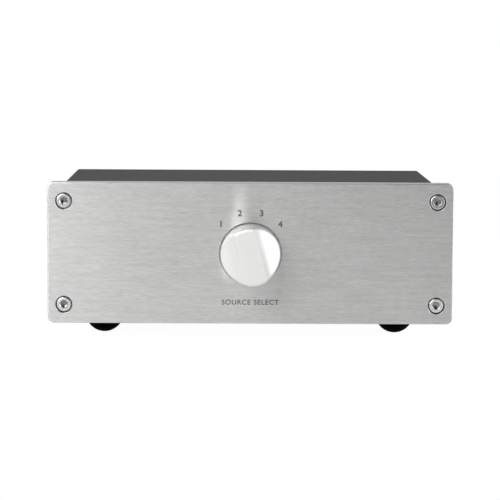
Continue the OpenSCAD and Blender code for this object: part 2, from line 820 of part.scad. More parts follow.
// Coloured ring outside the panel with a shoulder that lines its hole
module jack_rings(ch) {
    bore = tail_d + 2 * seat_gap;
    at_jacks(ch) difference() {
        union() {
            rod(ring_d, rear_y, rear_y + ring_t);
            rod(bore + 2 * shoulder_wall, inner_face_y, rear_y);
        }
        rod(bore, inner_face_y - cut, rear_y + ring_t + cut);
    }
}

module jack_rings_white() {
    color(white_colour) jack_rings(0);
}

module jack_rings_red() {
    color(red_colour) jack_rings(1);
}

module jack_inner_rings() {
    color(black_colour) for (ch = channel_range)
        at_jacks(ch) sleeve(ring_d, tail_d + 2 * seat_gap, inner_face_y - inner_ring_t, inner_face_y);
}

module jack_nuts() {
    color(brass_colour) for (ch = channel_range)
        at_jacks(ch) difference() {
            hex_rod(jack_nut_af, jack_nut_y, lug_y);
            rod(tail_d + 2 * seat_gap, jack_nut_y - cut, lug_y + cut);
        }
}

// Ring lugs with tabs that point at the middle of the panel
module ground_lugs() {
    color(brass_colour) for (ch = channel_range)
        at_jacks(ch) difference() {
            union() {
                rod(lug_d, lug_y, lug_y + lug_t);
                translate([-lug_tab_w / 2, lug_y, row_side(ch) > 0 ? -lug_reach : 0])
                    cube([lug_tab_w, lug_t, lug_reach]);
            }
            rod(tail_d + 2 * seat_gap, lug_y - cut, lug_y + lug_t + cut);
        }
}

// Stepped insulator between a shell and its centre contact
module jack_insulators(ch) {
    at_jacks(ch) difference() {
        rod(shell_bore_d - 2 * seat_gap, tail_y, insulator_y);
        rod(contact_d + 2 * seat_gap, contact_y, insulator_y + cut);
        rod(contact_pin_d + 2 * seat_gap, tail_y - cut, insulator_y);
    }
}

module jack_insulators_white() {
    color(white_colour) jack_insulators(0);
}

module jack_insulators_red() {
    color(red_colour) jack_insulators(1);
}

module jack_contacts() {
    color(brass_colour) for (ch = channel_range)
        at_jacks(ch) difference() {
            union() {
                rod(contact_d, contact_y, insulator_y);
                rod(contact_pin_d, pin_y, contact_y);
            }
            rod(contact_bore_d, insulator_y - contact_bore_depth, insulator_y + cut);
        }
}

// Bare wire soldered across the ground lugs of one channel
module ground_bus(ch) {
    reach = row_w + lug_tab_w;
    color(copper_colour)
        translate([-reach / 2, lug_y - seat_gap - bus_d / 2, row_side(ch) * (jack_row_z - bus_offset)])
            rotate([0, 90, 0]) cylinder(d = bus_d, h = reach);
}

// Switch tag, in x and z, that a jack is wired to
function upper_tag(c) = is_output(c) ? [0, common_r] : polar(throw_r, position_angle(c + 1));
function wired_tag(c, ch) = row_side(ch) * upper_tag(c);

module signal_wire(c, ch) {
    side = row_side(ch);
    start = [jack_x(c), side * jack_row_z];
    finish = wired_tag(c, ch);
    lane = side * (lane_z + lane_step * c);
    path = [
        for (i = [0 : wire_rings])
            let (s = i / wire_rings)
            [
                start[0] + (finish[0] - start[0]) * span(s, lane_across),
                pin_y + (tag_end_y - pin_y) * s,
                start[1] + (lane - start[1]) * span(s, lane_in) + (finish[1] - lane) * span(s, lane_out)
            ]
    ];
    color(side > 0 ? white_colour : red_colour) wire(path, wire_d, wire_sides, [0, 0, 1]);
}

place() front_panel();
place() front_panel_screws();
place() top_shell();
place() bottom_shell();
place() rear_panel();
place() rear_panel_screws();
place() foot_pads();
place() selector_knob();
place() knob_set_screw();
place() switch_shaft();
place() retaining_clip();
place() switch_nut();
place() switch_washer();
place() switch_housing();
place() stop_ring();
place() switch_rotor();
place() detent_balls();
place() detent_spring();
place() switch_wipers();
place() contact_wafer();
place() switch_terminals();
place() jack_rings_white();
place() jack_rings_red();
place() jack_inner_rings();
place() jack_nuts();
place() ground_lugs();
place() jack_insulators_white();
place() jack_insulators_red();
place() jack_contacts();
place() ground_bus(0);  // ground_bus_left
place() ground_bus(1);  // ground_bus_right
for (k = corner_range)
    place() foot(k);
for (c = column_range, ch = channel_range)
    place() jack_shell(c, ch);
for (c = column_range, ch = channel_range)
    place() signal_wire(c, ch);
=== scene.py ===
"""Looks of a four-way audio source selector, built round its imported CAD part."""

import json
import math

import bmesh
import bpy
import numpy as np
from mathutils import Matrix, Vector


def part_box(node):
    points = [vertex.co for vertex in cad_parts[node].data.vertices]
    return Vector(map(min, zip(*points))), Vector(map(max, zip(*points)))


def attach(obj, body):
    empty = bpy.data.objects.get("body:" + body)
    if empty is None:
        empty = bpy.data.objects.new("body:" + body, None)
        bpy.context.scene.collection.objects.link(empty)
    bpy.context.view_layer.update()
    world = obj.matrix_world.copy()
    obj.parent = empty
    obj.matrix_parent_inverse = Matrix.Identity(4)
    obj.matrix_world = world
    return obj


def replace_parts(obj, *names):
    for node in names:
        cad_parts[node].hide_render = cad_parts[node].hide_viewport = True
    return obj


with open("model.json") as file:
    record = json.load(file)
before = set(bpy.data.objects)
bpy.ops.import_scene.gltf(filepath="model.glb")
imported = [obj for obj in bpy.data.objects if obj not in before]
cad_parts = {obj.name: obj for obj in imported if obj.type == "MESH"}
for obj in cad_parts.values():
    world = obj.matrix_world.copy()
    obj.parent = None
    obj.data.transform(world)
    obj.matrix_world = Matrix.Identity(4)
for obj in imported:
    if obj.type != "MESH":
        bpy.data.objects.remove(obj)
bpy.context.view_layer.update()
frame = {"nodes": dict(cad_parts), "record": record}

MM = 0.001
NODES = frame["nodes"]
SLOTS = {part["node"]: part["material_slot"] for part in frame["record"]["subparts"]}

# Places taken from the frame
panel_low, panel_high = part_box("front_panel")
PANEL_FACE = panel_low.y
AXIS = Vector((0, PANEL_FACE, (panel_low.z + panel_high.z) / 2))

# Camera, fitted to the panel's corners: the photograph is 500 pixels wide and high
PHOTO_SIDE = 500
FOCAL_PX = 2221
SENSOR_WIDTH = 36
CLIP_START = 0.01
CAMERA_FROM_PANEL = Vector((-9.0, -843.0, 88.4)) * MM
CAMERA_PITCH = math.radians(5.894)
CAMERA_YAW = math.radians(-0.598)
CAMERA_ROLL = math.radians(0.333)


# Node helpers: most values of a noise texture lie between the low and the high one

NOISE_LOW = 0.3
NOISE_HIGH = 0.7
BLUE_SHARE = 0.99
PLAIN_GLOSS = 0.5


def add(tree, kind, **settings):
    node = tree.nodes.new(kind)
    for key, value in settings.items():
        setattr(node, key, value)
    return node


def material_tree(name):
    """A new material, its node tree and its main shader."""
    material = bpy.data.materials.new(name)
    material.use_nodes = True
    tree = material.node_tree
    return material, tree, tree.nodes["Principled BSDF"]


def grain(tree, cells, detail=3, rough=0.55):
    """Noise in the piece's own coordinates, with that many cells per metre along X, Y and Z."""
    coordinates = add(tree, "ShaderNodeTexCoord")
    scale = add(tree, "ShaderNodeMapping")
    scale.inputs["Scale"].default_value = cells
    noise = add(tree, "ShaderNodeTexNoise")
    noise.inputs["Scale"].default_value = 1
    noise.inputs["Detail"].default_value = detail
    noise.inputs["Roughness"].default_value = rough
    tree.links.new(coordinates.outputs["Object"], scale.inputs["Vector"])
    tree.links.new(scale.outputs["Vector"], noise.inputs["Vector"])
    return noise.outputs["Fac"]


def spread(tree, value, low, high):
    """Stretches a noise value to run from low to high."""
    node = add(tree, "ShaderNodeMapRange")
    node.inputs["From Min"].default_value = NOISE_LOW
    node.inputs["From Max"].default_value = NOISE_HIGH
    node.inputs["To Min"].default_value = low
    node.inputs["To Max"].default_value = high
    tree.links.new(value, node.inputs["Value"])
    return node.outputs["Result"]


def two_tone(tree, value, dark, light):
    """Colour that runs from dark to light with a noise value."""
    mix = add(tree, "ShaderNodeMix", data_type="RGBA")
    tree.links.new(spread(tree, value, 0, 1), mix.inputs["Factor"])
    mix.inputs["A"].default_value = (*dark, 1)
    mix.inputs["B"].default_value = (*light, 1)
    return mix.outputs["Result"]


def bump(tree, value, relief):
    """Normal of a surface that rises with a noise value, by up to its relief in metres."""
    node = add(tree, "ShaderNodeBump")
    node.inputs["Strength"].default_value = 1
    node.inputs["Distance"].default_value = relief
    tree.links.new(value, node.inputs["Height"])
    return node.outputs["Normal"]


def surface(name, dark, light, roughness, cells, relief, metal=0, gloss=PLAIN_GLOSS):
    """Material with a noise grain in its colour, roughness and relief."""
    material, tree, shader = material_tree(name)
    value = grain(tree, cells)
    tree.links.new(two_tone(tree, value, dark, light), shader.inputs["Base Color"])
    tree.links.new(spread(tree, value, *roughness), shader.inputs["Roughness"])
    tree.links.new(bump(tree, value, relief), shader.inputs["Normal"])
    shader.inputs["Metallic"].default_value = metal
    shader.inputs["Specular IOR Level"].default_value = gloss
    return material


def grey(level):
    """Grey that is a touch warm."""
    return (level, level, level * BLUE_SHARE)


# Brushed finish of the panel: a fine and a broad grain, in cells per metre, and how much each one counts
BRUSH_FINE = (330, 400, 2600)
BRUSH_BROAD = (60, 90, 700)
FINE_SHARE = 0.65
BROAD_SHARE = 0.35
BRUSH_TONES = (grey(0.44), grey(0.61))
BRUSH_ROUGHNESS = (0.37, 0.33)
BRUSH_RELIEF = 2e-6
BRUSH_METAL = 0.7
# The direction in which highlights stretch leans to Y, so that faces square to Z have one too
STRETCH_LEAN = 0.35


def brushed_aluminium():
    """Panel finish, brushed along X, so its highlights stretch along Z."""
    material, tree, shader = material_tree("brushed_aluminium")
    fine = grain(tree, BRUSH_FINE, detail=3, rough=0.5)
    broad = grain(tree, BRUSH_BROAD, detail=2)
    fine_part = add(tree, "ShaderNodeMath", operation="MULTIPLY")
    fine_part.inputs[1].default_value = FINE_SHARE
    streaks = add(tree, "ShaderNodeMath", operation="MULTIPLY_ADD")
    streaks.inputs[1].default_value = BROAD_SHARE
    tree.links.new(fine, fine_part.inputs[0])
    tree.links.new(broad, streaks.inputs[0])
    tree.links.new(fine_part.outputs["Value"], streaks.inputs[2])
    value = streaks.outputs["Value"]
    stretch = add(tree, "ShaderNodeCombineXYZ")
    stretch.inputs["Y"].default_value = STRETCH_LEAN
    stretch.inputs["Z"].default_value = 1
    tree.links.new(two_tone(tree, value, *BRUSH_TONES), shader.inputs["Base Color"])
    tree.links.new(spread(tree, value, *BRUSH_ROUGHNESS), shader.inputs["Roughness"])
    tree.links.new(bump(tree, fine, BRUSH_RELIEF), shader.inputs["Normal"])
    tree.links.new(stretch.outputs["Vector"], shader.inputs["Tangent"])
    shader.inputs["Metallic"].default_value = BRUSH_METAL
    shader.inputs["Anisotropic"].default_value = 1
    return material


# Grain of the other finishes, in cells per metre along X, Y and Z
EVEN = (900, 900, 900)
SATIN = (2200, 2200, 2200)
FINE = (4000, 4000, 4000)
LAYERED = (900, 300, 900)
TURNED = (60, 4000, 60)
BORED = (400, 4000, 400)

# Finish of each slot: dark tone, light tone, roughness range, grain, relief in metres, share of metal, gloss
FINISHES = {
    "knob_aluminium": (grey(0.59), grey(0.63), (0.42, 0.48), FINE, 1e-6, 0.42),
    "case_aluminium": (grey(0.026), grey(0.048), (0.7, 0.8), SATIN, 8e-6, 0, 0.04),
    "screw_steel": (grey(0.54), grey(0.62), (0.22, 0.3), EVEN, 1e-6, 1),
    "black_steel": (grey(0.015), grey(0.03), (0.35, 0.45), EVEN, 1e-6, 0.3),
    "foot_rubber": (grey(0.001), grey(0.002), (0.8, 0.9), FINE, 6e-6, 0, 0.02),
    "foot_adhesive": ((0.62, 0.6, 0.54), (0.7, 0.68, 0.62), (0.7, 0.8), EVEN, 6e-6),
    "switch_steel": (grey(0.5), grey(0.6), (0.28, 0.38), EVEN, 1e-6, 1),
    "rotor_plastic": ((0.02, 0.03, 0.03), (0.03, 0.042, 0.042), (0.4, 0.5), EVEN, 2e-6),
    "wafer_laminate": ((0.16, 0.06, 0.022), (0.24, 0.1, 0.04), (0.45, 0.6), LAYERED, 4e-6),
    "terminal_brass": ((0.6, 0.45, 0.2), (0.72, 0.55, 0.27), (0.25, 0.35), EVEN, 1e-6, 1),
    "jack_gold": ((0.83, 0.6, 0.26), (0.9, 0.68, 0.33), (0.16, 0.24), EVEN, 1e-6, 1),
    "jack_white": (grey(0.72), grey(0.8), (0.35, 0.45), EVEN, 2e-6),
    "jack_red": ((0.42, 0.012, 0.015), (0.52, 0.02, 0.022), (0.35, 0.45), EVEN, 2e-6),
    "washer_black": (grey(0.012), grey(0.02), (0.45, 0.55), EVEN, 2e-6),
    "wire_white": (grey(0.65), grey(0.74), (0.4, 0.5), EVEN, 2e-6),
    "wire_red": ((0.38, 0.015, 0.015), (0.48, 0.025, 0.02), (0.4, 0.5), EVEN, 2e-6),
    "bus_copper": ((0.62, 0.28, 0.15), (0.76, 0.38, 0.22), (0.25, 0.35), EVEN, 1e-6, 1),
}
MATERIALS = {slot: surface(slot, *finish) for slot, finish in FINISHES.items()}
MATERIALS["panel_aluminium"] = brushed_aluminium()

# Finishes of single faces and of the printed marks
KNOB_SIDE = surface("knob_side", grey(0.93), grey(0.97), (0.22, 0.28), TURNED, 1e-6, 0.95)
# Painted shade: a dark steel for the deep part of the front screws' sockets
SOCKET_PAINTED_SHADE = surface("screw_socket_painted_shade", grey(0.14), grey(0.22), (0.1, 0.16), EVEN, 1e-6, 1)
# Painted shade: a darker, rougher aluminium for the panel's outer rim, in place of the highlight that the
# edge would catch
RIM_PAINTED_SHADE = surface("panel_rim_painted_shade", grey(0.24), grey(0.3), (0.6, 0.66), EVEN, 1e-6, 0.4)
# Painted shade: a dark bored finish for the counterbores' walls, so the gap round each screw head reads as
# shadowed
COUNTERBORE_PAINTED_SHADE = surface("panel_bore_painted_shade", grey(0.12), grey(0.18), (0.4, 0.5), BORED, 1e-6, 0.6)
INK = surface("panel_ink", grey(0.08), grey(0.11), (0.7, 0.8), EVEN, 1e-6, gloss=0.15)


def paint(mesh, material):
    """Gives a mesh one material and smooth shading."""
    mesh.materials.clear()
    mesh.materials.append(material)
    mesh.polygons.foreach_set("use_smooth", [True] * len(mesh.polygons))
    mesh.update()


for name, slot in SLOTS.items():
    paint(NODES[name].data, MATERIALS[slot])


# Mesh helpers: shapes are worked out in millimetres and placed in metres

WELD = 1e-4
ROUND_STEPS = 96
HOLE_STEPS = 48
SHARP_ANGLE = math.radians(35)
# How far a cutter runs past the face that it opens
PAST = 1
# Share of a face's normal along Y: more than the one is square to the panels, less than the other is a side
FLAT = 0.9999
SIDE_LEAN = 0.2
FACING_FRONT = Matrix.Rotation(math.radians(90), 4, "X")
FACING_BACK = Matrix.Rotation(math.radians(-90), 4, "X")


def closed_mesh(points, faces):
    mesh = bpy.data.meshes.new("shape")
    mesh.from_pydata([tuple(p) for p in points], [], faces)
    shape = bmesh.new()
    shape.from_mesh(mesh)
    bmesh.ops.remove_doubles(shape, verts=shape.verts, dist=WELD)
    bmesh.ops.dissolve_degenerate(shape, dist=WELD, edges=shape.edges)
    bmesh.ops.recalc_face_normals(shape, faces=shape.faces)
    shape.to_mesh(mesh)
    shape.free()
    return mesh


def rounded(corners, steps=5):
    """Outline through (r, h, setback) corners, each rounded off from the setback before it to that after."""
    points = []
    for i, (r, h, setback) in enumerate(corners):
        corner = Vector((r, h))
        if not setback:
            points.append(corner)
            continue
        before = Vector(corners[i - 1][:2])
        after = Vector(corners[(i + 1) % len(corners)][:2])
        start = corner + (before - corner).normalized() * setback
        end = corner + (after - corner).normalized() * setback
        for k in range(steps + 1):
            t = k / steps
            points.append(start.lerp(corner, t).lerp(corner.lerp(end, t), t))
    return points


def spun_points(slices):
    """Points of (angle, outline of (r, h)) slices round the Z axis."""
    return [(r * math.cos(a), r * math.sin(a), h) for a, outline in slices for r, h in outline]


def spun_faces(slice_count, point_count, ring=False):
    """Quads between neighbouring slices; a ring's outline closes on itself."""
    faces = []
    for i in range(slice_count):
        here = i * point_count
        there = (i + 1) % slice_count * point_count
        for k in range(point_count if ring else point_count - 1):
            n = (k + 1) % point_count
            faces.append((here + k, here + n, there + n, there + k))
    return faces


def even_angles(count):
    return [2 * math.pi * i / count for i in range(count)]


def spun(outline, count, ring=False):
    """Solid of revolution about Z."""
    slices = [(a, outline) for a in even_angles(count)]
    return closed_mesh(spun_points(slices), spun_faces(count, len(outline), ring))


def cut_away(mesh, cutter_shape):
    """The mesh with a closed shape taken out of it."""
    cutter = bpy.data.objects.new("cutter", cutter_shape)
    body = bpy.data.objects.new("drilled", mesh)
    for thing in (cutter, body):
        bpy.context.scene.collection.objects.link(thing)
    cut = body.modifiers.new("hole", "BOOLEAN")
    cut.object = cutter
    cut.solver = "EXACT"
    result = bpy.data.meshes.new_from_object(body.evaluated_get(bpy.context.evaluated_depsgraph_get()))
    for thing in (cutter, body):
        bpy.data.objects.remove(thing)
    return result


def drilled(mesh, radius, start, end):
    """The mesh with a straight round hole from start to end."""
    way = Vector(end) - Vector(start)
    cutter = spun([(0, 0), (radius, 0), (radius, way.length), (0, way.length)], HOLE_STEPS)
    cutter.transform(Matrix.Translation(start) @ way.to_track_quat("Z", "Y").to_matrix().to_4x4())
    return cut_away(mesh, cutter)


def copies(mesh, places):
    """One mesh with a copy of the given one, in millimetres, at each place in the frame."""
    shape = bmesh.new()
    for place in places:
        copy = mesh.copy()
        copy.transform(place @ Matrix.Scale(MM, 4))
        shape.from_mesh(copy)
        bpy.data.meshes.remove(copy)
    joined = bpy.data.meshes.new("copies")
    shape.to_mesh(joined)
    shape.free()
    return joined


def show(name, mesh, material, body):
    """Puts a mesh into the scene as a piece that rides on a body."""
    mesh.name = name
    paint(mesh, material)
    mesh.set_sharp_from_angle(angle=SHARP_ANGLE)
    piece = bpy.data.objects.new(name, mesh)
    bpy.context.scene.collection.objects.link(piece)
    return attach(piece, body)


def stand_for(node, mesh, body="case"):
    """Shows a mesh in place of one CAD node, with the finish of the node's slot."""
    slot = SLOTS[node]
    piece = show(f"{node}_finished", mesh, MATERIALS[slot], body)
    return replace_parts(piece, node)


def flatten(piece):
    """Shades the faces square to the panels as flat."""
    for face in piece.data.polygons:
        if abs(face.normal.y) > FLAT:
            face.use_smooth = False


def finish_faces(piece, material, chosen):
    """Gives the chosen faces of a piece a material of their own."""
    index = len(piece.data.materials)
    piece.data.materials.append(material)
    for face in piece.data.polygons:
        if chosen(face):
            face.material_index = index


def is_side(face):
    return abs(face.normal.y) < SIDE_LEAN


# Knob: x across the finger bar, y along it to the pointer, z out of the panel from the knob's back

knob_low, knob_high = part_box("selector_knob")
KNOB_BACK = knob_high.y
KNOB_LEN = (knob_high.y - knob_low.y) / MM
KNOB_BASE_R = 11.5
KNOB_FRONT_R = 10.9
KNOB_TAPER = (KNOB_BASE_R - KNOB_FRONT_R) / KNOB_LEN
KNOB_CAP = 2.6
KNOB_TURN = math.radians(-15)
KNOB_SKIRT = 1.0
KNOB_FOOT_ROUND = 0.25
BAR_HALF = 3.75
BAR_BLEND = 0.15
RIM_BLEND = 1.0
SCOOP_R = 18.5
SCOOP_RIM = 5.2
NUT_HOLLOW_R = 7.628
NUT_HOLLOW_LEN = 3.6
SHAFT_BORE_R = 3.05
SET_SCREW_R = 1.55
SET_SCREW_Z = 6.6

# The section is first worked out densely, over a sweep of the hollow in radians that runs past the rim
SECTION_FLAT_STEPS = 400
SECTION_HOLLOW_STEPS = 1200
SECTION_SWEEP = 1.2
# Slices in a quarter turn: from and to in degrees, and how many, closer where the bar's edge meets the rim
QUARTER_STRETCHES = ((0, 50, 34), (50, 72, 34), (72, 90, 16))
FLAT_STEPS = 14
HOLLOW_STEPS = 40
SIDE_STEPS = 24
LEAST_COSINE = 1e-6


def knob_radius(z):
    return KNOB_BASE_R - KNOB_TAPER * z


def scoop_middle():
    """Axis of the round hollow that runs from the bar's edge to the rim."""
    start = Vector((BAR_HALF, KNOB_LEN))
    end = Vector((knob_radius(SCOOP_RIM), SCOOP_RIM))
    chord = end - start
    lift = math.sqrt(SCOOP_R**2 - chord.length_squared / 4)
    return (start + end) / 2 + Vector((-chord.y, chord.x)).normalized() * lift


SCOOP_MIDDLE = scoop_middle()


def smooth_max(a, b, blend):
    """The larger of two values, a little more where they are within the blend of each other."""
    share = np.maximum(blend - np.abs(a - b), 0) / blend
    return np.maximum(a, b) + share**2 * blend / 4


def knob_field(points):
    """About the distance of points outside the knob, with its edges blended."""
    x, y, z = points.T
    side = np.hypot(x, y) - knob_radius(z)
    scoop = SCOOP_R - np.hypot(np.abs(x) - SCOOP_MIDDLE.x, z - SCOOP_MIDDLE.y)
    front = smooth_max(z - KNOB_LEN, scoop, BAR_BLEND)
    return smooth_max(front, side, RIM_BLEND)


def settle(points, passes=4, step=1e-4):
    """Moves points onto the surface where the knob's field is zero."""
    for _ in range(passes):
        value = knob_field(points)
        slope = np.stack([(knob_field(points + d) - value) / step for d in np.eye(3) * step], axis=1)
        points = points - slope * (value / (slope**2).sum(axis=1))[:, None]
    return points


def eased(start, end, count):
    """Numbers from start to end, closer together at both ends."""
    return start + (end - start) * (1 - np.cos(np.linspace(0, math.pi, count))) / 2


def knob_section():
    """Half of the knob's section across the bar: the flat, then the hollow, as dense x and z values."""
    first = math.atan2(KNOB_LEN - SCOOP_MIDDLE.y, BAR_HALF - SCOOP_MIDDLE.x) % (2 * math.pi)
    turn = np.linspace(first, first + SECTION_SWEEP, SECTION_HOLLOW_STEPS)
    flat_x = np.linspace(0, BAR_HALF, SECTION_FLAT_STEPS)
    flat_z = np.full(SECTION_FLAT_STEPS, float(KNOB_LEN))
    x = np.concatenate([flat_x, SCOOP_MIDDLE.x + SCOOP_R * np.cos(turn)])
    z = np.concatenate([flat_z, SCOOP_MIDDLE.y + SCOOP_R * np.sin(turn)])
    return x, z


def knob_angles():
    """Angles of the knob's slices, alike in each quarter."""
    stretches = [np.linspace(*stretch)[:-1] for stretch in QUARTER_STRETCHES]
    quarter = np.radians(np.concatenate([*stretches, [90]]))
    half = np.concatenate([quarter, math.pi - quarter[-2:0:-1]])
    return np.concatenate([half, half + math.pi])


def knob_slice(angle, x, z, along):
    """Points on the knob at one angle, from the middle of its front over the rim to the skirt."""
    cosine = max(abs(math.cos(angle)), LEAST_COSINE)
    beyond = x / cosine - knob_radius(z)
    past = int(np.argmax(beyond > 0))
    rim = np.interp(0, beyond[past - 1:past + 1], along[past - 1:past + 1])
    edge = min(BAR_HALF, rim)
    s = np.concatenate([eased(0, edge, FLAT_STEPS), eased(edge, rim, HOLLOW_STEPS)[1:]])
    top_r = np.interp(s, along, x) / cosine
    top_z = np.interp(s, along, z)
    side_z = eased(top_z[-1], KNOB_SKIRT, SIDE_STEPS)[1:]
    r = np.concatenate([top_r, knob_radius(side_z)])
    h = np.concatenate([top_z, side_z])
    return np.stack([r * math.cos(angle), r * math.sin(angle), h], axis=1)


def knob_mesh():
    x, z = knob_section()
    along = np.concatenate([[0], np.cumsum(np.hypot(np.diff(x), np.diff(z)))])
    angles = knob_angles()
    outside = settle(np.concatenate([knob_slice(a, x, z, along) for a in angles]))
    outside = outside.reshape(len(angles), -1, 3)
    back = rounded([
        (knob_radius(KNOB_SKIRT), KNOB_SKIRT, 0), (KNOB_BASE_R, 0, KNOB_FOOT_ROUND),
        (NUT_HOLLOW_R, 0, KNOB_FOOT_ROUND), (NUT_HOLLOW_R, NUT_HOLLOW_LEN, 0),
        (SHAFT_BORE_R, NUT_HOLLOW_LEN, 0), (SHAFT_BORE_R, KNOB_LEN - KNOB_CAP, 0),
        (0, KNOB_LEN - KNOB_CAP, 0),
    ])[1:]
    points = []
    for a, row in zip(angles, outside):
        points.extend(row.tolist())
        points.extend(spun_points([(a, back)]))
    return closed_mesh(points, spun_faces(len(angles), outside.shape[1] + len(back)))


KNOB_PLACE = (
    Matrix.Translation(AXIS)
    @ Matrix.Rotation(KNOB_TURN, 4, "Y")
    @ Matrix.Translation((0, KNOB_BACK - PANEL_FACE, 0))
    @ FACING_FRONT
)
set_screw_start = (0, -SHAFT_BORE_R / 2, SET_SCREW_Z)
set_screw_end = (0, -KNOB_BASE_R - PAST, SET_SCREW_Z)
knob = drilled(knob_mesh(), SET_SCREW_R, set_screw_start, set_screw_end)
knob_piece = stand_for("selector_knob", copies(knob, [KNOB_PLACE]), "selector")
finish_faces(knob_piece, KNOB_SIDE, is_side)


# Front panel: x across, y up, z out of its face from the knob's axis

panel_size = (panel_high - panel_low) / MM
PANEL_CORNER_R = 2.4
PANEL_EDGE = 0.4
HOLE_EDGE = 0.15
COUNTERBORE_R = 3.25
COUNTERBORE_DEPTH = 3.2
SCREW_HOLE_R = 1.7
SCREW_X = 71.25
SCREW_UP = 19.85
RECESS_R = 11.85
RECESS_DEPTH = 0.7
BUSH_HOLE_R = 4.55
PEG_HOLE_R = 1.6
PEG_HOLE_DEPTH = 2.3
PEG_X = -10.5
PAST_BACK = -panel_size.y - PAST
# A face is part of a wall or of the rim if its middle lies this near to it
BORE_BAND = 0.05
RIM_BAND = 1
# The rim takes in the outer part of the rounded edge, up to this share of the normal along Y
RIM_LEAN = 0.75


def plate_ring(inset, z, steps=10):
    """Outline of the panel with round corners, drawn in by inset."""
    half = Vector((panel_size.x / 2 - PANEL_CORNER_R, panel_size.z / 2 - PANEL_CORNER_R))
    r = PANEL_CORNER_R - inset
    points = []
    for quarter, (sx, sy) in enumerate(((1, 1), (-1, 1), (-1, -1), (1, -1))):
        for k in range(steps + 1):
            a = math.pi / 2 * (quarter + k / steps)
            points.append((sx * half.x + r * math.cos(a), sy * half.y + r * math.sin(a), z))
    return points


def plate_mesh(edge_steps=4):
    """Plate with its front edge rounded."""
    rings = [plate_ring(0, -panel_size.y)]
    for k in range(edge_steps + 1):
        a = math.pi / 2 * k / edge_steps
        rings.append(plate_ring(PANEL_EDGE * (1 - math.cos(a)), PANEL_EDGE * (math.sin(a) - 1)))
    count = len(rings[0])
    faces = [tuple(range(count)), tuple(range((len(rings) - 1) * count, len(rings) * count))]
    for i in range(len(rings) - 1):
        for k in range(count):
            n = (k + 1) % count
            faces.append((i * count + k, i * count + n, (i + 1) * count + n, (i + 1) * count + k))
    return closed_mesh([point for ring in rings for point in ring], faces)


def counterbored(mesh, radius, depth, x, y):
    """The mesh with a round hole sunk into its face, its mouth slightly bevelled."""
    mouth = radius + HOLE_EDGE
    outline = [(0, PAST), (mouth, PAST), (mouth, 0), (radius, -HOLE_EDGE), (radius, -depth), (0, -depth)]
    cutter = spun(outline, ROUND_STEPS)
    cutter.transform(Matrix.Translation((x, y, 0)))
    return cut_away(mesh, cutter)


def from_axis(face):
    """How far the middle of a face lies from the knob's axis, across and up."""
    return abs(face.center.x - AXIS.x) / MM, abs(face.center.z - AXIS.z) / MM


def in_counterbore(face):
    """Whether a face of the panel is part of a counterbore's wall, which is darkened as painted shade."""
    x, up = from_axis(face)
    return is_side(face) and math.hypot(x - SCREW_X, up - SCREW_UP) < COUNTERBORE_R + BORE_BAND


def on_rim(face):
    """Whether a face of the panel is part of its outer rim, which is darkened as painted shade."""
    x, up = from_axis(face)
    outer = x > panel_size.x / 2 - RIM_BAND or up > panel_size.z / 2 - RIM_BAND
    return outer and abs(face.normal.y) < RIM_LEAN


panel = drilled(plate_mesh(), BUSH_HOLE_R, (0, 0, PAST), (0, 0, PAST_BACK))
panel = counterbored(panel, RECESS_R, RECESS_DEPTH, 0, 0)
panel = drilled(panel, PEG_HOLE_R, (PEG_X, 0, PEG_HOLE_DEPTH - panel_size.y), (PEG_X, 0, PAST_BACK))
for x in (-SCREW_X, SCREW_X):
    for y in (-SCREW_UP, SCREW_UP):
        panel = drilled(panel, SCREW_HOLE_R, (x, y, PAST), (x, y, PAST_BACK))
        panel = counterbored(panel, COUNTERBORE_R, COUNTERBORE_DEPTH, x, y)
panel_piece = stand_for("front_panel", copies(panel, [Matrix.Translation(AXIS) @ FACING_FRONT]))
flatten(panel_piece)
# The counterbores' walls are darkened as painted shade
finish_faces(panel_piece, COUNTERBORE_PAINTED_SHADE, in_counterbore)
# The rim is darkened as painted shade
finish_faces(panel_piece, RIM_PAINTED_SHADE, on_rim)


# Socket-head screws, pointing along -Z with the top of the head at z = 0

HEAD_R = 2.75
HEAD_ROUND = 0.4
SHANK_R = 1.5
TIP_BEVEL = 0.4
SOCKET_FLAT = 1.25
SOCKET_MOUTH_R = 1.62
SOCKET_DEPTH = 1.2
SOCKET_POINT = 0.4
KNURL_TEETH = 40
KNURL_DEPTH = 0.09
KNURL_STEPS = 6
# The knurl ends this far below the head's rounding and above its foot, which has a plain band
KNURL_FROM_TOP = 0.15
KNURL_FROM_FOOT = 0.25
PLAIN_BAND = 0.1
# Height of the head, length of the shank, and the angles in degrees at which the four screws came to rest
FRONT_HEAD = 3
FRONT_SHANK = 12
FRONT_TURNS = (12, 47, 28, 5)
REAR_HEAD = 2
REAR_SHANK = 8
REAR_TURNS = (33, 8, 51, 20)


def hexagon_radius(angle, flat):
    """Distance from the middle of a hexagon to its edge at an angle."""
    sixth = math.radians(60)
    return flat / math.cos((angle + sixth / 2) % sixth - sixth / 2)


def screw_slice(angle, head, shank):
    """Outline of a screw at one angle, from the bottom of its socket over the head to the tip."""
    wall = hexagon_radius(angle, SOCKET_FLAT)
    knurl = HEAD_R - KNURL_DEPTH * (1 + math.cos(KNURL_TEETH * angle)) / 2
    crown = rounded([(0, 0, 0), (HEAD_R, 0, HEAD_ROUND), (HEAD_R, -head, 0)])[1:-1]
    return [
        Vector((0, -SOCKET_DEPTH - SOCKET_POINT)),
        Vector((wall, -SOCKET_DEPTH)),
        Vector((wall, wall - SOCKET_MOUTH_R)),
        Vector((SOCKET_MOUTH_R, 0)),
        *crown,
        Vector((knurl, -HEAD_ROUND - KNURL_FROM_TOP)),
        Vector((knurl, -head + KNURL_FROM_FOOT)),
        Vector((HEAD_R, -head + PLAIN_BAND)),
        Vector((HEAD_R, -head)),
        Vector((SHANK_R, -head)),
        Vector((SHANK_R, -head - shank + TIP_BEVEL)),
        Vector((SHANK_R - TIP_BEVEL, -head - shank)),
        Vector((0, -head - shank)),
    ]


def screw_mesh(head, shank):
    slices = [(a, screw_slice(a, head, shank)) for a in even_angles(KNURL_TEETH * KNURL_STEPS)]
    return closed_mesh(spun_points(slices), spun_faces(len(slices), len(slices[0][1])))


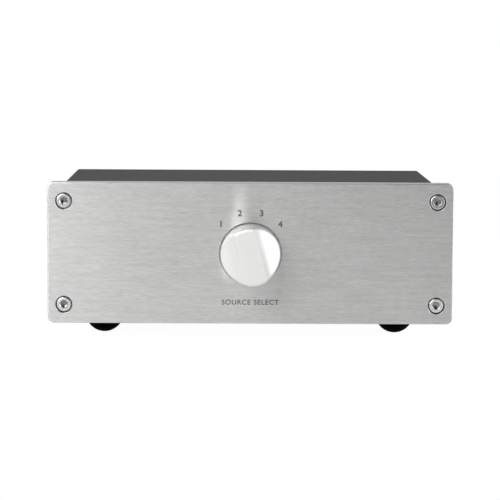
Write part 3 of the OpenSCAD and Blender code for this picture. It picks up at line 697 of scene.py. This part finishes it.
def screw_places(node, face_y, facing, turns):
    """Places of the four screws of a node, their heads' tops at face_y, each turned by its own angle."""
    low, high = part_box(node)
    inset = HEAD_R * MM
    corners = [(x, z) for x in (low.x + inset, high.x - inset) for z in (low.z + inset, high.z - inset)]
    return [
        Matrix.Translation((x, face_y, z)) @ facing @ Matrix.Rotation(math.radians(turn), 4, "Z")
        for (x, z), turn in zip(corners, turns)
    ]


def in_socket(face):
    """Whether a face of the front screws lies in the deeper part of a socket, which is darkened as painted
    shade.
    """
    away = min((face.center - place.translation).xz.length for place in front_places)
    return away < SOCKET_FLAT * MM and face.center.y > front_screw_face + SOCKET_DEPTH * MM / 2


front_screw_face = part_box("front_panel_screws")[0].y
front_places = screw_places("front_panel_screws", front_screw_face, FACING_FRONT, FRONT_TURNS)
front_screws = stand_for("front_panel_screws", copies(screw_mesh(FRONT_HEAD, FRONT_SHANK), front_places))
flatten(front_screws)
# The deep faces of each socket are darkened as painted shade
finish_faces(front_screws, SOCKET_PAINTED_SHADE, in_socket)
rear_screw_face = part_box("rear_panel_screws")[1].y
rear_places = screw_places("rear_panel_screws", rear_screw_face, FACING_BACK, REAR_TURNS)
stand_for("rear_panel_screws", copies(screw_mesh(REAR_HEAD, REAR_SHANK), rear_places))


# Jacks: z points out of the rear panel, and each piece's outer end lies at z = 0

JACK_COLUMNS = ("input_1", "input_2", "input_3", "input_4", "output")
JACK_COLOURS = {"left": "white", "right": "red"}
BARREL_R = 4.15
BARREL_LEN = 9
BARREL_BEVEL = 0.5
SHELL_BORE_R = 3.2
FLANGE_R = 5.75
FLANGE_T = 2
TAIL_R = 3.9
RING_R = 6.3
RING_T = 1.2
RING_BORE_R = 3.95
SHOULDER_R = 4.75
INSULATOR_R = 3.15
CONTACT_SEAT_R = 2.05
CONTACT_SEAT_LEN = 11
PIN_HOLE_R = 1.05
CONTACT_R = 2
CONTACT_BORE_R = 1.6
CONTACT_BORE_LEN = 8.5
CONTACT_SLOTS = 4
SLOT_DEPTH = 5
SLOT_HALF = math.radians(9)
SLOT_STEPS = 5
FINGER_STEPS = 15
PIN_R = 1
EDGE = 0.15
SOFT_EDGE = 0.35


def node_length(node):
    low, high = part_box(node)
    return (high.y - low.y) / MM


def shell_mesh(length):
    flange = -BARREL_LEN - FLANGE_T
    return spun(rounded([
        (SHELL_BORE_R, 0, EDGE), (BARREL_R, 0, BARREL_BEVEL), (BARREL_R, -BARREL_LEN, EDGE),
        (FLANGE_R, -BARREL_LEN, SOFT_EDGE), (FLANGE_R, flange, EDGE), (TAIL_R, flange, 0),
        (TAIL_R, -length, SOFT_EDGE), (SHELL_BORE_R, -length, 0),
    ]), ROUND_STEPS, ring=True)


def ring_mesh(length):
    return spun(rounded([
        (RING_BORE_R, 0, 0), (RING_R, 0, SOFT_EDGE), (RING_R, -RING_T, EDGE), (SHOULDER_R, -RING_T, 0),
        (SHOULDER_R, -length, 0), (RING_BORE_R, -length, 0),
    ]), ROUND_STEPS, ring=True)


def insulator_mesh(length):
    return spun(rounded([
        (CONTACT_SEAT_R, 0, EDGE), (INSULATOR_R, 0, EDGE), (INSULATOR_R, -length, 0),
        (PIN_HOLE_R, -length, 0), (PIN_HOLE_R, -CONTACT_SEAT_LEN, 0), (CONTACT_SEAT_R, -CONTACT_SEAT_LEN, 0),
    ]), ROUND_STEPS, ring=True)


def contact_mesh(length):
    """Tube with spring fingers: over each slot the outline is cut back from the mouth."""
    outline = rounded([
        (0, -CONTACT_BORE_LEN, 0), (CONTACT_BORE_R, -CONTACT_BORE_LEN, 0), (CONTACT_BORE_R, -SLOT_DEPTH, 0),
        (CONTACT_BORE_R, 0, EDGE), (CONTACT_R, 0, EDGE), (CONTACT_R, -SLOT_DEPTH, 0),
        (CONTACT_R, -CONTACT_SEAT_LEN, 0), (PIN_R, -CONTACT_SEAT_LEN, 0), (PIN_R, -length, EDGE),
        (0, -length, 0),
    ])
    slot = [(r, min(h, -SLOT_DEPTH)) for r, h in outline]
    slices = []
    for middle in even_angles(CONTACT_SLOTS):
        finger = middle + 2 * math.pi / CONTACT_SLOTS
        slices += [(a, slot) for a in np.linspace(middle - SLOT_HALF, middle + SLOT_HALF, SLOT_STEPS)]
        slices += [(a, outline) for a in np.linspace(middle + SLOT_HALF, finger - SLOT_HALF, FINGER_STEPS)]
    return closed_mesh(spun_points(slices), spun_faces(len(slices), len(outline)))


def jack_middles(channel):
    """Frame points on the axes of one channel's jacks, at their outer ends."""
    middles = []
    for column in JACK_COLUMNS:
        low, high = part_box(f"{column}_{channel}_jack")
        middles.append(Vector(((low.x + high.x) / 2, high.y, (low.z + high.z) / 2)))
    return middles


def jack_places(node, channels):
    """Places of one node's pieces on the axes of the jacks of some channels."""
    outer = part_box(node)[1].y
    return [
        Matrix.Translation((middle.x, outer, middle.z)) @ FACING_BACK
        for channel in channels
        for middle in jack_middles(channel)
    ]


for channel, colour in JACK_COLOURS.items():
    for column, middle in zip(JACK_COLUMNS, jack_middles(channel)):
        node = f"{column}_{channel}_jack"
        shell = shell_mesh(node_length(node))
        stand_for(node, copies(shell, [Matrix.Translation(middle) @ FACING_BACK]))
    for kind, shape in (("rings", ring_mesh), ("insulators", insulator_mesh)):
        node = f"jack_{kind}_{colour}"
        stand_for(node, copies(shape(node_length(node)), jack_places(node, [channel])))
contact = contact_mesh(node_length("jack_contacts"))
stand_for("jack_contacts", copies(contact, jack_places("jack_contacts", JACK_COLOURS)))


# Feet

FOOT_CORNERS = ("front_left", "front_right", "rear_left", "rear_right")
FOOT_FLAT_R = 1.5
FOOT_TOP_ROUND = 0.5
DOME_STEPS = 24


def foot_mesh(radius, height, flat_r):
    """Domed foot standing on z = 0."""
    dome = math.sqrt(radius**2 - flat_r**2)
    lean = math.asin(flat_r / radius)
    outline = [Vector((0, 0))]
    for k in range(DOME_STEPS + 1):
        a = lean + (math.pi / 2 - lean) * k / DOME_STEPS
        outline.append(Vector((radius * math.sin(a), dome - radius * math.cos(a))))
    outline += rounded([(radius, dome, 0), (radius, height, FOOT_TOP_ROUND), (0, height, 0)])[1:]
    return spun(outline, ROUND_STEPS)


for corner in FOOT_CORNERS:
    node = f"{corner}_foot"
    low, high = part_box(node)
    size = (high - low) / MM
    middle = Vector(((low.x + high.x) / 2, (low.y + high.y) / 2, low.z))
    stand_for(node, copies(foot_mesh(size.x / 2, size.z, FOOT_FLAT_R), [Matrix.Translation(middle)]))


# Marks on the panel

MARK_R = 16
MARK_H = 2.5
MARK_WEIGHT = 0.035
MARK_T = 0.02
POSITION_ANGLES = (-45, -15, 15, 45)
CAPTION = "SOURCE SELECT"
CAPTION_DROP = 18.7
CAPTION_H = 2
CAPTION_WEIGHT = 0.018
CAPTION_SPACING = 1.12


def lettering(words, height, weight, spacing):
    """Flat letters in the X-Y plane, in millimetres, centred on the origin."""
    data = bpy.data.curves.new("lettering", "FONT")
    data.body = words
    data.space_character = spacing
    data.offset = weight
    text = bpy.data.objects.new("lettering", data)
    bpy.context.scene.collection.objects.link(text)
    mesh = bpy.data.meshes.new_from_object(text.evaluated_get(bpy.context.evaluated_depsgraph_get()))
    bpy.data.objects.remove(text)
    corners = np.array([v.co for v in mesh.vertices])
    low, high = corners.min(axis=0), corners.max(axis=0)
    middle = Vector((low + high) / 2)
    mesh.transform(Matrix.Scale(height / (high - low)[1], 4) @ Matrix.Translation(-middle))
    return mesh


def panel_mark(words, height, x, z, weight, spacing=1.0):
    """Printed letters with their middle at x and z from the knob's axis."""
    place = Matrix.Translation(AXIS + Vector((x, 0, z)) * MM + Vector((0, -MARK_T * MM, 0)))
    return copies(lettering(words, height, weight, spacing), [place @ FACING_FRONT])


for number, angle in enumerate(POSITION_ANGLES, 1):
    a = math.radians(angle)
    mark = panel_mark(str(number), MARK_H, MARK_R * math.sin(a), MARK_R * math.cos(a), MARK_WEIGHT)
    show(f"position_mark_{number}", mark, INK, "case")
caption = panel_mark(CAPTION, CAPTION_H, 0, -CAPTION_DROP, CAPTION_WEIGHT, CAPTION_SPACING)
show("caption_mark", caption, INK, "case")


# Floor, in metres

FLOOR_HALF = 0.32
FLOOR_TONE = (0.85, 0.85, 0.85, 1)
FLOOR_ROUGHNESS = 0.9
FLOOR_GLOW = 1.15
GLOW_SHARE = 0.85


def floor_material():
    """White floor that shows the camera little of its own shading, so that the shadow stays faint."""
    material, tree, shader = material_tree("studio_floor")
    shader.inputs["Base Color"].default_value = FLOOR_TONE
    shader.inputs["Roughness"].default_value = FLOOR_ROUGHNESS
    shader.inputs["Specular IOR Level"].default_value = 0
    glow = add(tree, "ShaderNodeEmission")
    glow.inputs["Strength"].default_value = FLOOR_GLOW
    path = add(tree, "ShaderNodeLightPath")
    seen = add(tree, "ShaderNodeMath", operation="ADD")
    clear = add(tree, "ShaderNodeMath", operation="ADD")
    share = add(tree, "ShaderNodeMath", operation="MULTIPLY")
    share.inputs[1].default_value = GLOW_SHARE
    mix = add(tree, "ShaderNodeMixShader")
    link = tree.links.new
    link(path.outputs["Is Camera Ray"], seen.inputs[0])
    link(path.outputs["Is Glossy Ray"], seen.inputs[1])
    link(seen.outputs["Value"], clear.inputs[0])
    link(path.outputs["Is Transmission Ray"], clear.inputs[1])
    link(clear.outputs["Value"], share.inputs[0])
    link(share.outputs["Value"], mix.inputs["Fac"])
    link(shader.outputs["BSDF"], mix.inputs[1])
    link(glow.outputs["Emission"], mix.inputs[2])
    link(mix.outputs["Shader"], tree.nodes["Material Output"].inputs["Surface"])
    return material


floor_corners = [(x * FLOOR_HALF, y * FLOOR_HALF, 0) for x, y in ((-1, -1), (1, -1), (1, 1), (-1, 1))]
floor_mesh = bpy.data.meshes.new("floor")
floor_mesh.from_pydata(floor_corners, [], [(0, 1, 2, 3)])
floor_mesh.materials.append(floor_material())
floor = bpy.data.objects.new("floor", floor_mesh)
bpy.context.scene.collection.objects.link(floor)


# Light: the reflected room's level by how far a direction points to the right, and its share by how far back

ROOM_BY_SIDE = (
    (-1.0, 0.5), (-0.4, 0.5), (-0.2, 1.5), (0.0, 0.44), (0.05, 0.38),
    (0.1, 0.0), (0.2, 0.1), (0.6, 1.0), (1.0, 1.0),
)
ROOM_BY_DEPTH = ((-1.0, 1.0), (0.0, 1.0), (0.3, 0.3), (1.0, 0.3))
SOFT_LEVEL = 0.2
# Each lamp's place and width in metres, and its power in watts
LAMPS = {
    "key": ((-0.38, -0.47, 0.35), 0.52, 5.6),
    "left_side": ((-0.8, -0.15, 0.2), 0.5, 0.6),
    "rear": ((0, 0.8, 0.5), 0.6, 3),
    "right_side": ((0.8, -0.06, 0.16), 0.7, 9),
}


def ramp(tree, value, stops):
    """Grey level by a value from -1 to 1, through (value, level) stops."""
    side = add(tree, "ShaderNodeMapRange")
    side.inputs["From Min"].default_value = -1
    side.inputs["From Max"].default_value = 1
    node = add(tree, "ShaderNodeValToRGB")
    elements = node.color_ramp.elements
    while len(elements) < len(stops):
        elements.new(1)
    for element, (place, level) in zip(elements, stops):
        element.position = (place + 1) / 2
        element.color = (level, level, level, 1)
    tree.links.new(value, side.inputs["Value"])
    tree.links.new(side.outputs["Result"], node.inputs["Fac"])
    return node.outputs["Color"]


def studio_world():
    """White for the camera, the room for reflections and a soft even light for everything else."""
    world = bpy.data.worlds.new("studio")
    world.use_nodes = True
    tree = world.node_tree
    tree.nodes.clear()
    direction = add(tree, "ShaderNodeTexCoord")
    parts = add(tree, "ShaderNodeSeparateXYZ")
    level = add(tree, "ShaderNodeMix", data_type="RGBA", blend_type="MULTIPLY")
    level.inputs["Factor"].default_value = 1
    path = add(tree, "ShaderNodeLightPath")
    room = add(tree, "ShaderNodeBackground")
    soft = add(tree, "ShaderNodeBackground")
    soft.inputs["Color"].default_value = (1, 1, 1, 1)
    soft.inputs["Strength"].default_value = SOFT_LEVEL
    white = add(tree, "ShaderNodeBackground")
    white.inputs["Color"].default_value = (1, 1, 1, 1)
    sharp = add(tree, "ShaderNodeMath", operation="MAXIMUM")
    by_gloss = add(tree, "ShaderNodeMixShader")
    by_camera = add(tree, "ShaderNodeMixShader")
    out = add(tree, "ShaderNodeOutputWorld")
    link = tree.links.new
    link(direction.outputs["Generated"], parts.inputs["Vector"])
    link(ramp(tree, parts.outputs["X"], ROOM_BY_SIDE), level.inputs["A"])
    link(ramp(tree, parts.outputs["Y"], ROOM_BY_DEPTH), level.inputs["B"])
    link(level.outputs["Result"], room.inputs["Color"])
    link(path.outputs["Is Glossy Ray"], sharp.inputs[0])
    link(path.outputs["Is Transmission Ray"], sharp.inputs[1])
    link(sharp.outputs["Value"], by_gloss.inputs["Fac"])
    link(soft.outputs["Background"], by_gloss.inputs[1])
    link(room.outputs["Background"], by_gloss.inputs[2])
    link(path.outputs["Is Camera Ray"], by_camera.inputs["Fac"])
    link(by_gloss.outputs["Shader"], by_camera.inputs[1])
    link(white.outputs["Background"], by_camera.inputs[2])
    link(by_camera.outputs["Shader"], out.inputs["Surface"])
    bpy.context.scene.world = world


def area_light(name, place, width, power):
    """Square soft light that faces the middle of the panel."""
    data = bpy.data.lights.new(name, "AREA")
    data.size = width
    data.energy = power
    lamp = bpy.data.objects.new(name, data)
    lamp.location = Vector(place)
    lamp.rotation_euler = (AXIS - Vector(place)).to_track_quat("-Z", "Y").to_euler()
    bpy.context.scene.collection.objects.link(lamp)


studio_world()
for name, (place, width, power) in LAMPS.items():
    area_light(name, place, width, power)


# Camera


def photo_camera():
    data = bpy.data.cameras.new("camera")
    data.sensor_width = SENSOR_WIDTH
    data.lens = SENSOR_WIDTH * FOCAL_PX / PHOTO_SIDE
    data.clip_start = CLIP_START
    camera = bpy.data.objects.new("camera", data)
    level = Matrix(((1, 0, 0), (0, 0, -1), (0, 1, 0)))
    turn = (
        Matrix.Rotation(CAMERA_ROLL, 3, "Z")
        @ Matrix.Rotation(CAMERA_PITCH, 3, "X")
        @ Matrix.Rotation(CAMERA_YAW, 3, "Y")
    )
    right, down, forward = turn @ level
    axes = Matrix((right, -down, -forward)).transposed()
    camera.matrix_world = Matrix.Translation(AXIS + CAMERA_FROM_PANEL) @ axes.to_4x4()
    bpy.context.scene.collection.objects.link(camera)
    bpy.context.scene.camera = camera


photo_camera()
bpy.context.scene.view_settings.view_transform = "Standard"
